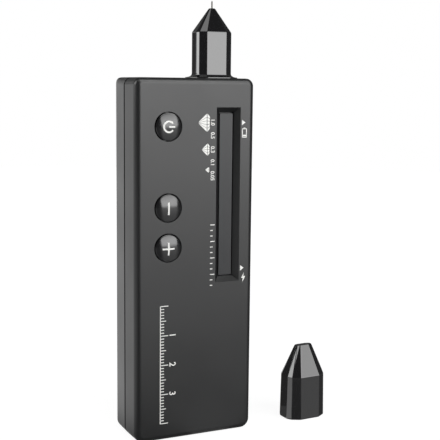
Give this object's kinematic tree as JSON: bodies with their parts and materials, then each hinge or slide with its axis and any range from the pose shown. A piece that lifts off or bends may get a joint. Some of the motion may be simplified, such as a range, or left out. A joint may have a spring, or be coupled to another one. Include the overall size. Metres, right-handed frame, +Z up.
{
  "type": "gemstone tester",
  "caption": "Upright hand-held gemstone tester with a sprung test needle in a faceted probe, push buttons, a long lamp window and a separate faceted cap.",
  "frame": {"origin": "middle of the flat bottom end of the body, which it stands on", "axes": "+Z up along the body towards the probe's needle, +Y from the front face to the rear face, +X to the right as seen from the front"},
  "size_m": [0.0741, 0.0243, 0.1463],
  "materials": {
    "matte_black_shell": "fine satin texture",
    "gloss_black_plastic": "polished",
    "dark_window": "satin smoked",
    "white_mask": "moulded",
    "lamp_lens": "clear cast",
    "circuit_board": "solder resist",
    "chip_black": "moulded",
    "ceramic_parts": "fired",
    "zinc_screw": "zinc plated",
    "switch_metal": "stamped sheet",
    "stem_plastic": "moulded",
    "cell_foil": "laminated foil",
    "amber_tape": "tape",
    "foam": "closed cell",
    "lead_cover": "smooth",
    "brass": "turned",
    "needle_metal": "plated",
    "spring_steel": "drawn",
    "seat_plastic": "moulded",
    "fine_lead": "enamelled"
  },
  "bodies": {
    "body": {"front_cover": "matte_black_shell", "rear_cover": "matte_black_shell", "cover_screws": "zinc_screw", "display_window": "dark_window", "light_mask": "white_mask", "scale_lamps": "lamp_lens", "main_board": "circuit_board", "board_screws": "zinc_screw", "controller_chip": "chip_black", "amplifier_chip": "chip_black", "charger_chip": "chip_black", "small_parts": "ceramic_parts", "buzzer": "chip_black", "power_switch": "switch_metal", "minus_switch": "switch_metal", "plus_switch": "switch_metal", "charge_socket": "switch_metal", "socket_tongue": "chip_black", "battery_cell": "cell_foil", "cell_guard": "amber_tape", "battery_pad": "foam", "battery_leads": "lead_cover", "battery_plug": "white_mask", "battery_header": "white_mask", "probe_housing": "gloss_black_plastic", "probe_sleeve": "brass", "probe_spring": "spring_steel", "spring_seat": "seat_plastic", "probe_leads": "fine_lead"},
    "power_key": {"power_button": "gloss_black_plastic", "power_stem": "stem_plastic"},
    "minus_key": {"minus_button": "gloss_black_plastic", "minus_stem": "stem_plastic"},
    "plus_key": {"plus_button": "gloss_black_plastic", "plus_stem": "stem_plastic"},
    "needle": {"probe_needle": "needle_metal", "probe_heater": "ceramic_parts"},
    "cap": {"protective_cap": "gloss_black_plastic"}
  },
  "joints": [
    {"name": "power_press", "type": "slide", "parent": "body", "child": "power_key", "axis": [0, 1, 0], "range_m": [0, 0.0005], "stiffness_N_per_m": 1000, "springref_m": -0.0005},
    {"name": "minus_press", "type": "slide", "parent": "body", "child": "minus_key", "axis": [0, 1, 0], "range_m": [0, 0.0005], "stiffness_N_per_m": 1000, "springref_m": -0.0005},
    {"name": "plus_press", "type": "slide", "parent": "body", "child": "plus_key", "axis": [0, 1, 0], "range_m": [0, 0.0005], "stiffness_N_per_m": 1000, "springref_m": -0.0005},
    {"name": "needle_press", "type": "slide", "parent": "body", "child": "needle", "axis": [0, 0, -1], "range_m": [0, 0.0012], "stiffness_N_per_m": 300, "springref_m": -0.001, "deforming": ["probe_spring"]},
    {"name": "cap_lift", "type": "slide", "parent": "body", "child": "cap", "axis": [0, 0, 1], "range_m": [0, 0.15]}
  ]
}
